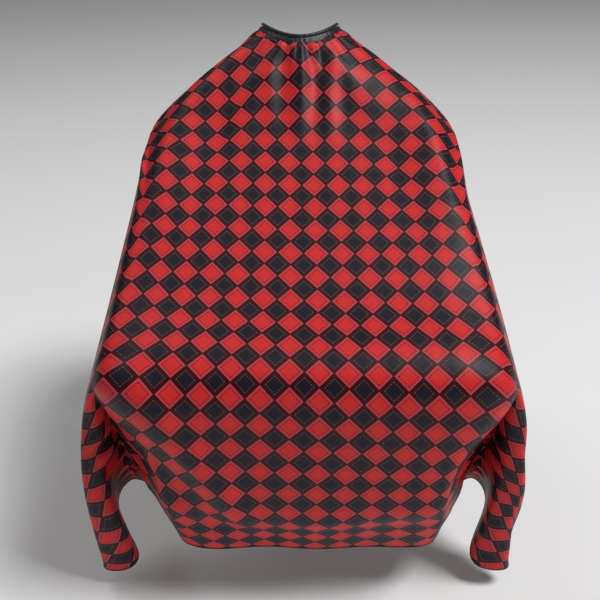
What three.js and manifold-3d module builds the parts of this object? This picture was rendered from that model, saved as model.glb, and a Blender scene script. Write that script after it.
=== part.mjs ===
// Barber cape: one printed sheet, gathered into a snap-closed neckband and draped over the
// shoulders, forearms and knees of a seated client. The client is not part of the object.
// Millimetres, +Z up, the wearer faces -Y. The origin is the centre of the neckband's ring.
import * as THREE from 'three';
import Module from 'manifold-3d';
import { mergeVertices } from 'three/addons/utils/BufferGeometryUtils.js';

// ---- Driving dimensions -------------------------------------------------------------------
const GAP = 0.3; // air left between pieces that touch

// Neckband, measured on the outer face of its top edge
const NECK_RADIUS = 62.5;
const NECK_FRONT_Z = 5;
const NECK_SIDE_Z = 14;
const NECK_BACK_Z = -16; // the nape sags, because nothing holds it up
const BAND_HEIGHT = 12;
const BAND_FLARE = 0.5; // outwards for each millimetre down
const BAND_CLOTH = 1.2; // outer layer
const LINING_CLOTH = 0.9;
const ELASTIC_THICK = 1.0;
const ELASTIC_WIDTH = 8;
const ELASTIC_END = 96; // degrees from the throat, both ways
const PIPING_RADIUS = 2.8;

// Closure at the nape, in degrees round from the throat towards the wearer's left (+X)
const BAND_END_FREE = 177; // the end that carries the studs
const BAND_END_ROOT = 192; // the end that the tab grows from
const TAB_TIP = 144.5;
const SNAP_FIRST = 165;
const SNAP_PITCH = 13;
const STUD_COUNT = 5;
const SOCKET_COUNT = 2;

// Snap fasteners
const STUD_FLANGE_RADIUS = 4.4;
const STUD_FLANGE = 0.8;
const STUD_HEAD_RADIUS = 2.0;
const STUD_HEAD = 2.0; // above the flange
const RIVET_RADIUS = 1.1;
const RIVET_CLEARANCE = 0.35; // round a rivet, in each hole it goes through
const SOCKET_RADIUS = 4.6;
const SOCKET_CAVITY_RADIUS = 3.2;
const SOCKET_FLOOR = 0.7;
const BACK_RADIUS = 3.6;
const BACK_THICK = 1.3;
const CAP_RADIUS = 5.2;
const CAP_THICK = 1.3;
const CAP_DOME = 0.7;

// Draped sheet. Reach is forward of the neck, half is sideways from it, drop is below it.
const CLOTH_THICK = 1.6; // hull thickness of the soft sheet
const CHEST_REACH = 174;
const CHEST_DROP = 149;
const LAP_REACH = 369;
const LAP_DROP = 293;
const KNEE_REACH = 505;
const KNEE_DROP = 402;
const KNEE_TOP_DROP = 357; // where the lap meets the turn over the knees
const FRONT_HEM_DROP = 680;
const FRONT_HEM_REACH = 464;
const PANEL_HALF = 262; // front panel at the knees
const PANEL_HEM_HALF = 192;
const VALLEY_REACH = 300; // how far back the hem folds between panel and corner
const VALLEY_HEM_DROP = 668;
const ARM_HALF = 286; // top edge over the forearms
const CORNER_HALF = 320;
const CORNER_HEM_DROP = 768;
const CORNER_HEM_REACH = 408;
const SHOULDER_HALF = 250;
const SHOULDER_DROP = 116;
const SHOULDER_ROLL = 60; // height of the turn from the shoulder's top to its side
const SIDE_HANG = 249; // from the shoulder's top to the side hem
const BACK_REACH = 153; // behind the neck
const BACK_DROP = 118;
const BACK_HEM_DROP = 318;
const BACK_CORNER_HEM_DROP = 505;
const SLIT_HALF = 5; // half the back opening's width
const BINDING_WIDTH = 3.2;
const BINDING_GAP = 0.5; // past the sheet's edge, which bends between facets
const BINDING_THICK = 2.6;

// Care label on the back hem
const LABEL_WIDTH = 26;
const LABEL_LENGTH = 20;
const LABEL_THICK = 0.8;
const LABEL_DROP = 1; // past the binding, which bends between facets
const LABEL_COLUMN = 0.965; // place along the hem, 0 front to 1 slit

// Fineness of the faceted surfaces
const COLUMN_STEPS = 3; // facets between two stations
const ROW_STEPS = 3; // facets between two levels
const BAND_STEP = 6; // degrees

// ---- Finishes -----------------------------------------------------------------------------
const finish = (color, roughness, metalness = 0) =>
  new THREE.MeshStandardMaterial({ color, roughness, metalness });
const PRINTED = finish(0xa8202a, 0.45);
const SATIN = finish(0x17171a, 0.35);
const ELASTIC = finish(0x2b2b2e, 0.9);
const NICKEL = finish(0xb9bcc0, 0.25, 1);
const LABEL = finish(0xf0eee8, 0.7);

const cape = new THREE.Group();

function addPiece(name, geometry, material) {
  const mesh = new THREE.Mesh(geometry, material);
  mesh.name = name;
  cape.add(mesh);
  return mesh;
}

// ---- Small geometry helpers ---------------------------------------------------------------
const radians = THREE.MathUtils.degToRad;
const point = (x, forward, z) => new THREE.Vector3(x, -forward, z);

function meshFrom(points, triangles) {
  const geometry = new THREE.BufferGeometry();
  geometry.setAttribute('position', new THREE.Float32BufferAttribute(points.flatMap((p) => [p.x, p.y, p.z]), 3));
  geometry.setIndex(triangles.flat());
  return geometry;
}

// Closed solid from rings of points: each ring is one section, and flat caps close the two ends.
function loft(rings) {
  const size = rings[0].length;
  const triangles = [];
  for (let i = 0; i + 1 < rings.length; i++) {
    for (let j = 0; j < size; j++) {
      const k = (j + 1) % size;
      const [a, b, c, d] = [i * size + j, i * size + k, (i + 1) * size + k, (i + 1) * size + j];
      triangles.push([a, b, c], [a, c, d]);
    }
  }
  const last = (rings.length - 1) * size;
  for (let j = 1; j + 1 < size; j++) {
    triangles.push([0, j + 1, j], [last, last + j, last + j + 1]);
  }
  return meshFrom(rings.flat(), triangles);
}

// ---- Neckband curve -----------------------------------------------------------------------
// Height of the band's top edge round the neck, a saddle through throat, side and nape heights.
function bandTopZ(angle) {
  const swing = (NECK_FRONT_Z - NECK_BACK_Z) / 2;
  const mean = ((NECK_FRONT_Z + NECK_BACK_Z) / 2 + NECK_SIDE_Z) / 2;
  const saddle = mean - NECK_SIDE_Z;
  return mean + swing * Math.cos(angle) + saddle * Math.cos(2 * angle);
}

// A point on the band: out is the distance outside the band's outer face, down is below its top.
function onBand(degrees, out, down) {
  const angle = radians(degrees);
  const radius = NECK_RADIUS + out + BAND_FLARE * down;
  return point(radius * Math.sin(angle), radius * Math.cos(angle), bandTopZ(angle) - down);
}

function bandAngles(start, end) {
  const count = Math.ceil(Math.abs(end - start) / BAND_STEP);
  return Array.from({ length: count + 1 }, (_, i) => start + ((end - start) * i) / count);
}

// A strip round the band, from angle start up to end. outAt gives its inner face's place.
function bandStrip(start, end, outAt, thick, top, bottom) {
  return loft(bandAngles(start, end).map((degrees) => {
    const out = outAt(degrees);
    return [
      onBand(degrees, out, top),
      onBand(degrees, out + thick, top),
      onBand(degrees, out + thick, bottom),
      onBand(degrees, out, bottom),
    ];
  }));
}

const BAND_START = BAND_END_ROOT - 360;

// ---- Booleans -----------------------------------------------------------------------------
const wasm = await Module();
wasm.setup();

function toSolid(geometry) {
  const bare = geometry.index ? geometry.clone() : geometry;
  bare.deleteAttribute('normal');
  bare.deleteAttribute('uv');
  const merged = mergeVertices(bare, 1e-4);
  return new wasm.Manifold(new wasm.Mesh({
    numProp: 3,
    vertProperties: merged.attributes.position.array,
    triVerts: Uint32Array.from(merged.index.array),
  }));
}

function toGeometry(solid) {
  const mesh = solid.getMesh();
  const geometry = new THREE.BufferGeometry();
  geometry.setAttribute('position', new THREE.BufferAttribute(Float32Array.from(mesh.vertProperties), 3));
  geometry.setIndex(new THREE.BufferAttribute(Uint32Array.from(mesh.triVerts), 1));
  return geometry;
}

function withHoles(geometry, holes) {
  return toGeometry(holes.reduce((solid, hole) => solid.subtract(toSolid(hole)), toSolid(geometry)));
}

// ---- Snap fasteners -----------------------------------------------------------------------
const SNAP_DOWN = BAND_HEIGHT / 2;
const STACK_SOCKET = GAP + STUD_FLANGE + GAP; // socket mouth, outside the band's outer face
const STACK_TAB = STACK_SOCKET + STUD_HEAD + SOCKET_FLOOR + 3 * GAP; // inner face of the tab
const STACK_CAP = STACK_TAB + BAND_CLOTH + GAP;
const LINING_OUT = -(BAND_CLOTH + GAP + ELASTIC_THICK + GAP + LINING_CLOTH);

// Places a turned piece on the band at an angle, with its own Z axis along the band's normal.
function seatOnBand(geometry, degrees) {
  const round = onBand(degrees + 1, 0, SNAP_DOWN).sub(onBand(degrees - 1, 0, SNAP_DOWN));
  const up = onBand(degrees, 0, 0).sub(onBand(degrees, 0, BAND_HEIGHT));
  const normal = round.cross(up).normalize();
  const turn = new THREE.Quaternion().setFromUnitVectors(new THREE.Vector3(0, 0, 1), normal);
  const place = onBand(degrees, 0, SNAP_DOWN);
  return geometry.clone().applyQuaternion(turn).translate(place.x, place.y, place.z);
}

// A turned solid about Z from (radius, height) pairs that start and end on the axis or close.
function turned(profile, sides = 16) {
  const shape = new THREE.LatheGeometry(profile.map(([r, h]) => new THREE.Vector2(r, h)), sides);
  return shape.rotateX(Math.PI / 2);
}

// Distances across the layers grow by this along the band's slanted normal.
const SLANT = 1 / Math.hypot(1, BAND_FLARE);
const along = (out) => out * SLANT;
// A flat disc inside a curved layer touches at its rim first, so it is seated this much deeper.
const rimSeat = (radius) => (radius * radius) / (2 * NECK_RADIUS) + GAP / 2;
const BACK_FACE = along(LINING_OUT) - GAP - rimSeat(BACK_RADIUS);

const studShape = turned([
  [0, BACK_FACE - BACK_THICK / 2],
  [RIVET_RADIUS, BACK_FACE - BACK_THICK / 2],
  [RIVET_RADIUS, GAP],
  [STUD_FLANGE_RADIUS, GAP],
  [STUD_FLANGE_RADIUS, GAP + STUD_FLANGE * 0.6],
  [STUD_HEAD_RADIUS * 0.85, GAP + STUD_FLANGE],
  [STUD_HEAD_RADIUS, GAP + STUD_FLANGE + STUD_HEAD * 0.55],
  [STUD_HEAD_RADIUS * 0.7, GAP + STUD_FLANGE + STUD_HEAD - GAP],
  [0, GAP + STUD_FLANGE + STUD_HEAD - GAP],
]);

const backShape = turned([
  [0, BACK_FACE - BACK_THICK],
  [BACK_RADIUS * 0.8, BACK_FACE - BACK_THICK],
  [BACK_RADIUS, BACK_FACE - BACK_THICK * 0.6],
  [BACK_RADIUS, BACK_FACE],
  [RIVET_RADIUS + RIVET_CLEARANCE, BACK_FACE],
  [RIVET_RADIUS + RIVET_CLEARANCE, BACK_FACE - BACK_THICK / 2 - GAP],
  [0, BACK_FACE - BACK_THICK / 2 - GAP],
]);

const SOCKET_MOUTH = along(STACK_SOCKET);
const SOCKET_BACK = along(STACK_TAB) - GAP - rimSeat(SOCKET_RADIUS * 0.9);
const CAP_RIVET_TIP = SOCKET_BACK - SOCKET_FLOOR / 2;
const socketShape = turned([
  [SOCKET_CAVITY_RADIUS, SOCKET_MOUTH],
  [SOCKET_RADIUS, SOCKET_MOUTH],
  [SOCKET_RADIUS, SOCKET_BACK - SOCKET_FLOOR * 0.4],
  [SOCKET_RADIUS * 0.9, SOCKET_BACK],
  [RIVET_RADIUS + RIVET_CLEARANCE, SOCKET_BACK],
  [RIVET_RADIUS + RIVET_CLEARANCE, SOCKET_BACK - SOCKET_FLOOR],
  [SOCKET_CAVITY_RADIUS, SOCKET_BACK - SOCKET_FLOOR],
  [SOCKET_CAVITY_RADIUS, SOCKET_MOUTH],
]);

const CAP_FACE = along(STACK_CAP) + GAP / 2;
const capShape = turned([
  [0, CAP_RIVET_TIP],
  [RIVET_RADIUS, CAP_RIVET_TIP],
  [RIVET_RADIUS, CAP_FACE],
  [CAP_RADIUS, CAP_FACE],
  [CAP_RADIUS, CAP_FACE + CAP_THICK - CAP_DOME],
  [CAP_RADIUS * 0.7, CAP_FACE + CAP_THICK - CAP_DOME * 0.3],
  [0, CAP_FACE + CAP_THICK],
]);

const rivetHole = new THREE.CylinderGeometry(
  RIVET_RADIUS + RIVET_CLEARANCE, RIVET_RADIUS + RIVET_CLEARANCE, 40, 16,
).rotateX(Math.PI / 2);

const snapAngle = (index) => SNAP_FIRST - SNAP_PITCH * index;
const studHoles = Array.from({ length: STUD_COUNT }, (_, i) => seatOnBand(rivetHole, snapAngle(i)));
const tabHoles = studHoles.slice(0, SOCKET_COUNT);

for (let i = 0; i < STUD_COUNT; i++) {
  addPiece(`snap_stud_${i + 1}`, seatOnBand(studShape, snapAngle(i)), NICKEL);
  addPiece(`snap_back_${i + 1}`, seatOnBand(backShape, snapAngle(i)), NICKEL);
}
for (let i = 0; i < SOCKET_COUNT; i++) {
  addPiece(`snap_socket_${i + 1}`, seatOnBand(socketShape, snapAngle(i)), NICKEL);
  addPiece(`snap_cap_${i + 1}`, seatOnBand(capShape, snapAngle(i)), NICKEL);
}

// ---- Neckband -----------------------------------------------------------------------------
const holdOut = (value) => () => value;
addPiece('neckband_outer', withHoles(
  bandStrip(BAND_START, BAND_END_FREE, holdOut(-BAND_CLOTH), BAND_CLOTH, 0, BAND_HEIGHT), studHoles,
), SATIN);
addPiece('neckband_lining', withHoles(
  bandStrip(BAND_START, BAND_END_FREE, holdOut(LINING_OUT), LINING_CLOTH, 0, BAND_HEIGHT), studHoles,
), SATIN);

const ELASTIC_DOWN = (BAND_HEIGHT - ELASTIC_WIDTH) / 2;
addPiece('neck_elastic', bandStrip(
  -ELASTIC_END, ELASTIC_END, holdOut(-BAND_CLOTH - GAP - ELASTIC_THICK), ELASTIC_THICK,
  ELASTIC_DOWN, ELASTIC_DOWN + ELASTIC_WIDTH,
), ELASTIC);

// Piping: a round roll along the top edge, centred over the layers below it.
const PIPING_SIDES = 8;
const PIPING_OUT = LINING_OUT / 2;
addPiece('neck_piping', loft(bandAngles(BAND_START, BAND_END_FREE).map((degrees) =>
  Array.from({ length: PIPING_SIDES }, (_, i) => {
    const turn = (2 * Math.PI * i) / PIPING_SIDES;
    const down = -PIPING_RADIUS - GAP - PIPING_RADIUS * Math.cos(turn);
    const out = PIPING_OUT + PIPING_RADIUS * Math.sin(turn);
    return onBand(degrees, out - BAND_FLARE * down, down);
  }))), SATIN);

// Closure tab: leaves the root end in line with the band, climbs over the free end, and lies on
// the sockets.
const TAB_CLIMB_END = BAND_END_FREE + 1.5;
const TAB_START = BAND_END_ROOT - (GAP / NECK_RADIUS) * (180 / Math.PI);
function tabOut(degrees) {
  const climb = THREE.MathUtils.smoothstep(-degrees, -TAB_START, -TAB_CLIMB_END);
  return THREE.MathUtils.lerp(-BAND_CLOTH, STACK_TAB, climb);
}
addPiece('closure_tab', withHoles(
  bandStrip(TAB_TIP, TAB_START, tabOut, BAND_CLOTH, 0, BAND_HEIGHT), tabHoles,
), SATIN);

// ---- Draped sheet -------------------------------------------------------------------------
// Stations run round the cape from the front centre to the back slit, on the +X side. Each is a
// row of levels from the neckband down to the hem: neck, upper, middle, edge, turn, hanging, hem.
const neckEdge = (degrees) => onBand(degrees, -BAND_CLOTH / 2, BAND_HEIGHT + GAP + CLOTH_THICK / 2);
const KNEE_TOP_REACH = KNEE_REACH - 17;
const FRONT_MIDDLE = -(KNEE_DROP + FRONT_HEM_DROP) / 2;
const CORNER_MIDDLE = -(KNEE_DROP + CORNER_HEM_DROP) / 2;
const BACK_MIDDLE = -(BACK_DROP + BACK_HEM_DROP) / 2;

const stations = [
  { // front centre
    neck: 0,
    path: [
      point(0, CHEST_REACH, -CHEST_DROP),
      point(0, LAP_REACH, -LAP_DROP),
      point(0, KNEE_TOP_REACH, -KNEE_TOP_DROP),
      point(0, KNEE_REACH, -KNEE_DROP),
      point(0, KNEE_REACH - 20, FRONT_MIDDLE),
      point(0, FRONT_HEM_REACH, -FRONT_HEM_DROP),
    ],
  },
  { // inside the panel's edge
    neck: 34,
    path: [
      point(PANEL_HALF * 0.39, CHEST_REACH, -CHEST_DROP),
      point(PANEL_HALF * 0.64, LAP_REACH, -LAP_DROP),
      point(PANEL_HALF * 0.78, KNEE_TOP_REACH, -KNEE_TOP_DROP),
      point(PANEL_HALF * 0.81, KNEE_REACH - 1, -KNEE_DROP - 2),
      point((PANEL_HALF + PANEL_HEM_HALF) * 0.43, KNEE_REACH - 22, FRONT_MIDDLE - 1),
      point(PANEL_HEM_HALF * 0.9, FRONT_HEM_REACH, -FRONT_HEM_DROP),
    ],
  },
  { // the panel's edge, where it turns back
    neck: 46,
    path: [
      point(PANEL_HALF * 0.52, CHEST_REACH - 7, -CHEST_DROP + 7),
      point(PANEL_HALF * 0.79, LAP_REACH - 9, -LAP_DROP + 5),
      point(PANEL_HALF, KNEE_TOP_REACH - 8, -KNEE_TOP_DROP - 15),
      point(PANEL_HALF, KNEE_REACH - 21, -KNEE_DROP - 23),
      point((PANEL_HALF + PANEL_HEM_HALF) * 0.515, KNEE_REACH - 42, FRONT_MIDDLE + 6),
      point(PANEL_HEM_HALF, FRONT_HEM_REACH - 24, -FRONT_HEM_DROP),
    ],
  },
  { // the valley between panel and corner
    neck: 57,
    path: [
      point(PANEL_HALF * 0.64, CHEST_REACH - 17, -CHEST_DROP + 21),
      point(PANEL_HALF * 0.88, LAP_REACH - 24, -LAP_DROP + 13),
      point(PANEL_HALF * 1.05, KNEE_TOP_REACH - 24, -KNEE_TOP_DROP - 21),
      point(PANEL_HALF * 1.05, KNEE_REACH - 75, -KNEE_DROP - 38),
      point(PANEL_HALF, VALLEY_REACH + 63, -(KNEE_DROP + VALLEY_HEM_DROP) / 2 - 15),
      point(PANEL_HALF, VALLEY_REACH, -VALLEY_HEM_DROP),
    ],
  },
  { // inner face of the hanging corner
    neck: 67,
    path: [
      point(SHOULDER_HALF * 0.77, CHEST_REACH - 34, -CHEST_DROP + 40),
      point(ARM_HALF * 0.86, LAP_REACH - 44, -LAP_DROP + 25),
      point(ARM_HALF * 0.98, KNEE_TOP_REACH - 25, -KNEE_TOP_DROP - 24),
      point(ARM_HALF, KNEE_REACH - 42, -KNEE_DROP - 38),
      point(CORNER_HALF * 0.84, CORNER_HEM_REACH + 22, CORNER_MIDDLE - 15),
      point(CORNER_HALF * 0.81, CORNER_HEM_REACH - 6, -CORNER_HEM_DROP + 23),
    ],
  },
  { // outer face of the hanging corner
    neck: 76,
    path: [
      point(SHOULDER_HALF * 0.85, CHEST_REACH - 62, -CHEST_DROP + 42),
      point(ARM_HALF * 0.88, LAP_REACH - 77, -LAP_DROP + 46),
      point(ARM_HALF, KNEE_TOP_REACH - 36, -KNEE_TOP_DROP - 11),
      point(CORNER_HALF, KNEE_REACH - 56, -KNEE_DROP - 53),
      point(CORNER_HALF + 4, CORNER_HEM_REACH + 26, CORNER_MIDDLE - 15),
      point(CORNER_HALF - 4, CORNER_HEM_REACH, -CORNER_HEM_DROP),
    ],
  },
  { // back of the hanging corner
    neck: 85,
    path: [
      point(SHOULDER_HALF * 0.9, CHEST_REACH * 0.43, -SHOULDER_DROP),
      point(ARM_HALF * 0.89, LAP_REACH - 119, -SHOULDER_DROP - 100),
      point(ARM_HALF * 0.965, KNEE_TOP_REACH - 103, -KNEE_TOP_DROP + 32),
      point(CORNER_HALF * 0.94, KNEE_REACH - 122, -KNEE_DROP + 7),
      point(CORNER_HALF, CORNER_HEM_REACH - 35, CORNER_MIDDLE + 23),
      point(CORNER_HALF - 2, CORNER_HEM_REACH - 47, -CORNER_HEM_DROP + 68),
    ],
  },
  { // forearm
    neck: 95,
    path: [
      point(SHOULDER_HALF * 0.9, CHEST_REACH * 0.26, -SHOULDER_DROP),
      point(SHOULDER_HALF, LAP_REACH * 0.41, -SHOULDER_DROP - 34),
      point(SHOULDER_HALF + 4, LAP_REACH * 0.58, -SHOULDER_DROP - 89),
      point(SHOULDER_HALF + 16, LAP_REACH * 0.58, -SHOULDER_DROP - 124),
      point(SHOULDER_HALF + 22, LAP_REACH * 0.58, -SHOULDER_DROP - SIDE_HANG * 0.9),
      point(SHOULDER_HALF + 20, LAP_REACH * 0.575, -SHOULDER_DROP - SIDE_HANG - SHOULDER_ROLL),
    ],
  },
  { // shoulder
    neck: 112,
    path: [
      point(SHOULDER_HALF * 0.6, 6, -SHOULDER_DROP * 0.47),
      point(SHOULDER_HALF * 0.89, 18, -SHOULDER_DROP),
      point(SHOULDER_HALF, 26, -SHOULDER_DROP - SHOULDER_ROLL / 2),
      point(SHOULDER_HALF + 7, 26, -SHOULDER_DROP - SHOULDER_ROLL),
      point(SHOULDER_HALF + 10, 22, -SHOULDER_DROP - SIDE_HANG * 0.62),
      point(SHOULDER_HALF + 8, 20, -SHOULDER_DROP - SIDE_HANG),
    ],
  },
  { // back corner
    neck: 138,
    path: [
      point(SHOULDER_HALF * 0.46, -62, -SHOULDER_DROP * 0.5),
      point(SHOULDER_HALF * 0.74, -84, -SHOULDER_DROP + 8),
      point(SHOULDER_HALF * 0.86, -98, -SHOULDER_DROP - SHOULDER_ROLL / 2),
      point(SHOULDER_HALF * 0.9, -108, -SHOULDER_DROP - SHOULDER_ROLL),
      point(SHOULDER_HALF * 0.96, -125, -(BACK_CORNER_HEM_DROP + SHOULDER_DROP + SHOULDER_ROLL) / 2),
      point(SHOULDER_HALF * 0.95, -128, -BACK_CORNER_HEM_DROP),
    ],
  },
  { // shoulder blade
    neck: 160,
    path: [
      point(SHOULDER_HALF * 0.23, -98, -BACK_DROP * 0.53),
      point(SHOULDER_HALF * 0.33, -124, -BACK_DROP * 0.82),
      point(SHOULDER_HALF * 0.38, -BACK_REACH + 13, -BACK_DROP),
      point(SHOULDER_HALF * 0.4, -BACK_REACH + 6, -BACK_DROP - 28),
      point(SHOULDER_HALF * 0.42, -BACK_REACH + 3, BACK_MIDDLE - 13),
      point(SHOULDER_HALF * 0.42, -BACK_REACH + 5, -BACK_HEM_DROP - 4),
    ],
  },
  { // edge of the back opening
    neck: 174,
    path: [
      point(SLIT_HALF + 6, -102, -BACK_DROP * 0.54),
      point(SLIT_HALF + 2, -128, -BACK_DROP * 0.83),
      point(SLIT_HALF, -BACK_REACH + 10, -BACK_DROP),
      point(SLIT_HALF, -BACK_REACH + 3, -BACK_DROP - 28),
      point(SLIT_HALF, -BACK_REACH, BACK_MIDDLE - 13),
      point(SLIT_HALF, -BACK_REACH + 1, -BACK_HEM_DROP),
    ],
  },
];

const halfNet = stations.map((station) => [neckEdge(station.neck), ...station.path]);
const mirrored = halfNet.slice(1).reverse().map((levels) =>
  levels.map((p) => new THREE.Vector3(-p.x, p.y, p.z)));
const net = [...mirrored, ...halfNet];
const levelCount = halfNet[0].length;
const columnCount = (net.length - 1) * COLUMN_STEPS + 1;
const rowCount = (levelCount - 1) * ROW_STEPS + 1;

function curveAt(points, share) {
  return new THREE.CatmullRomCurve3(points, false, 'catmullrom', 0.5).getPoint(share);
}

// The sheet's middle surface: across is 0 to 1 from slit to slit, down is 0 to 1 neck to hem.
function sheetRow(down) {
  const ring = net.map((levels) => curveAt(levels, down));
  const curve = new THREE.CatmullRomCurve3(ring, false, 'catmullrom', 0.5);
  return Array.from({ length: columnCount }, (_, i) => curve.getPoint(i / (columnCount - 1)));
}
const sheet = Array.from({ length: rowCount }, (_, r) => sheetRow(r / (rowCount - 1)));

function sheetNormal(r, c) {
  const up = sheet[Math.max(r - 1, 0)][c];
  const down = sheet[Math.min(r + 1, rowCount - 1)][c];
  const left = sheet[r][Math.max(c - 1, 0)];
  const right = sheet[r][Math.min(c + 1, columnCount - 1)];
  return right.clone().sub(left).cross(up.clone().sub(down)).normalize();
}

function sheetSolid() {
  const faces = [1, -1].map((side) => sheet.flatMap((row, r) =>
    row.map((p, c) => p.clone().addScaledVector(sheetNormal(r, c), (side * CLOTH_THICK) / 2))));
  const size = rowCount * columnCount;
  const outer = (r, c) => r * columnCount + c;
  const inner = (r, c) => size + outer(r, c);
  const triangles = [];
  const quad = (a, b, c, d) => triangles.push([a, b, c], [a, c, d]);
  for (let r = 0; r + 1 < rowCount; r++) {
    for (let c = 0; c + 1 < columnCount; c++) {
      quad(outer(r, c), outer(r + 1, c), outer(r + 1, c + 1), outer(r, c + 1));
      quad(inner(r, c), inner(r, c + 1), inner(r + 1, c + 1), inner(r + 1, c));
    }
  }
  const lastRow = rowCount - 1;
  const lastColumn = columnCount - 1;
  for (let c = 0; c < lastColumn; c++) {
    quad(outer(0, c), outer(0, c + 1), inner(0, c + 1), inner(0, c));
    quad(outer(lastRow, c + 1), outer(lastRow, c), inner(lastRow, c), inner(lastRow, c + 1));
  }
  for (let r = 0; r < lastRow; r++) {
    quad(outer(r + 1, 0), outer(r, 0), inner(r, 0), inner(r + 1, 0));
    quad(outer(r, lastColumn), outer(r + 1, lastColumn), inner(r + 1, lastColumn), inner(r, lastColumn));
  }
  return meshFrom(faces.flat(), triangles);
}
addPiece('cape_sheet', sheetSolid(), PRINTED);

// ---- Edge binding -------------------------------------------------------------------------
// A flat tape just past the sheet's edge: down one side of the slit, round the hem and up again.
const lastRowIndex = rowCount - 1;
const rowsDown = Array.from({ length: rowCount - 1 }, (_, r) => r + 1);
const edgeWalk = [
  ...rowsDown.slice(0, -1).map((r) => ({ r, c: 0, out: 'side' })),
  ...Array.from({ length: columnCount }, (_, c) => ({ r: lastRowIndex, c, out: 'hem' })),
  ...rowsDown.slice(0, -1).reverse().map((r) => ({ r, c: columnCount - 1, out: 'side' })),
];

// The direction out of the sheet, square to its edge and to its normal, at a place on the walk.
function squareOut(tangent, normal, outward) {
  const away = tangent.cross(normal).normalize();
  return away.dot(outward) < 0 ? away.negate() : away;
}
function edgeOut({ r, c, out }) {
  const inner = c + (c === columnCount - 1 ? -1 : 1);
  const here = sheet[r][c];
  const across = here.clone().sub(sheet[r][inner]);
  const below = here.clone().sub(sheet[Math.max(r - 1, 0)][c]);
  const normal = sheetNormal(r, c);
  const alongHem = sheet[r][Math.min(c + 1, columnCount - 1)].clone().sub(sheet[r][Math.max(c - 1, 0)]);
  const alongSide = sheet[Math.min(r + 1, lastRowIndex)][c].clone().sub(sheet[Math.max(r - 1, 0)][c]);
  const sideAway = squareOut(alongSide, normal, across);
  if (out === 'side') return { away: sideAway, stretch: 1 };
  const hemAway = squareOut(alongHem, normal, below);
  if (c > 0 && c < columnCount - 1) return { away: hemAway, stretch: 1 };
  const half = Math.cos(sideAway.angleTo(hemAway) / 2);
  return { away: sideAway.add(hemAway).normalize(), stretch: 1 / half };
}
const bindingRings = edgeWalk.map((place) => {
  const { away, stretch } = edgeOut(place);
  const normal = sheetNormal(place.r, place.c);
  const near = BINDING_GAP * stretch;
  const far = (BINDING_GAP + BINDING_WIDTH) * stretch;
  const here = sheet[place.r][place.c];
  return [[near, 1], [far, 1], [far, -1], [near, -1]].map(([reach, face]) =>
    here.clone().addScaledVector(away, reach).addScaledVector(normal, (face * BINDING_THICK) / 2));
});
addPiece('edge_binding', loft(bindingRings), SATIN);

// ---- Care label ---------------------------------------------------------------------------
// Hangs from the binding, square to the hem where it is sewn on.
const labelColumn = Math.round((1 - LABEL_COLUMN) * 0.5 * (columnCount - 1));
const labelHem = { r: lastRowIndex, c: labelColumn, out: 'hem' };
const labelAway = edgeOut(labelHem).away;
const labelNormal = sheetNormal(lastRowIndex, labelColumn);
const labelAlong = labelAway.clone().cross(labelNormal);
const labelReach = BINDING_GAP + BINDING_WIDTH + LABEL_DROP + LABEL_LENGTH / 2;
const label = addPiece('care_label', new THREE.BoxGeometry(LABEL_WIDTH, LABEL_THICK, LABEL_LENGTH), LABEL);
label.quaternion.setFromRotationMatrix(
  new THREE.Matrix4().makeBasis(labelAlong, labelNormal, labelAway.clone().negate()));
label.position.copy(sheet[lastRowIndex][labelColumn]).addScaledVector(labelAway, labelReach);

export default cape;
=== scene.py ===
"""A barber cape: one printed sheet gathered into a snap-closed neckband.

It hangs over the shoulders, forearms and knees of a seated client, who isn't part of it. Lengths are
metres unless a name or a comment says millimetres, +Z is up, and the wearer faces -Y. The origin is
the centre of the neckband's ring.
"""

from __future__ import annotations

import logging
import math
from dataclasses import dataclass
from enum import Enum

import bpy
import numpy as np
from mathutils import Matrix, Vector
from mathutils.bvhtree import BVHTree
from mathutils.geometry import barycentric_transform

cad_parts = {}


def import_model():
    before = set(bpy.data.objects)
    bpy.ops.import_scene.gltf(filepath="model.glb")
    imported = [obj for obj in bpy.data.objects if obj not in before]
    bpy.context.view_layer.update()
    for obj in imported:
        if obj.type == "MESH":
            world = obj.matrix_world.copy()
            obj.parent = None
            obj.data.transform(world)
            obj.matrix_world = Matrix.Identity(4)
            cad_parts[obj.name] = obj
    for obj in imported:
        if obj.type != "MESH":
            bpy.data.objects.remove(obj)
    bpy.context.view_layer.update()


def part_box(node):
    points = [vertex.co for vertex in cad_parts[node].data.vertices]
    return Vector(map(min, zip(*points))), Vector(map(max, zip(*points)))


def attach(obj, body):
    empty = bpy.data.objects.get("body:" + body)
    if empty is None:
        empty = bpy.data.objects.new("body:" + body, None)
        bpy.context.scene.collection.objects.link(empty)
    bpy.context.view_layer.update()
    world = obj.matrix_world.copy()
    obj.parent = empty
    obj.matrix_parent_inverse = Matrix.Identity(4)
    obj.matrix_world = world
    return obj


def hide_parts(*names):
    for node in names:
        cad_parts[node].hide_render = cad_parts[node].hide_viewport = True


LOG = logging.getLogger("barber_cape")
MM = 0.001


class Body(Enum):
    """The bodies that pieces ride on."""

    CAPE = "cape"
    TAB = "tab"
    LABEL = "label"


class Slot(Enum):
    """The record's material slots."""

    PRINT = "printed_cloth"
    SATIN = "black_satin"
    ELASTIC = "elastic_tape"
    NICKEL = "snap_nickel"
    LABEL = "label_satin"


# ---- Colour and node helpers --------------------------------------------------------------

Inputs = dict[int | str, object]


def linear(hex_colour: str) -> tuple[float, float, float, float]:
    """Turns an sRGB hex colour into linear light.

    Args:
        hex_colour: six hex digits after a hash.

    Returns:
        Red, green, blue and an alpha of 1.
    """
    parts = [int(hex_colour[i : i + 2], 16) / 255 for i in (1, 3, 5)]
    red, green, blue = [p / 12.92 if p <= 0.04045 else ((p + 0.055) / 1.055) ** 2.4 for p in parts]
    return red, green, blue, 1.0


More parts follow.
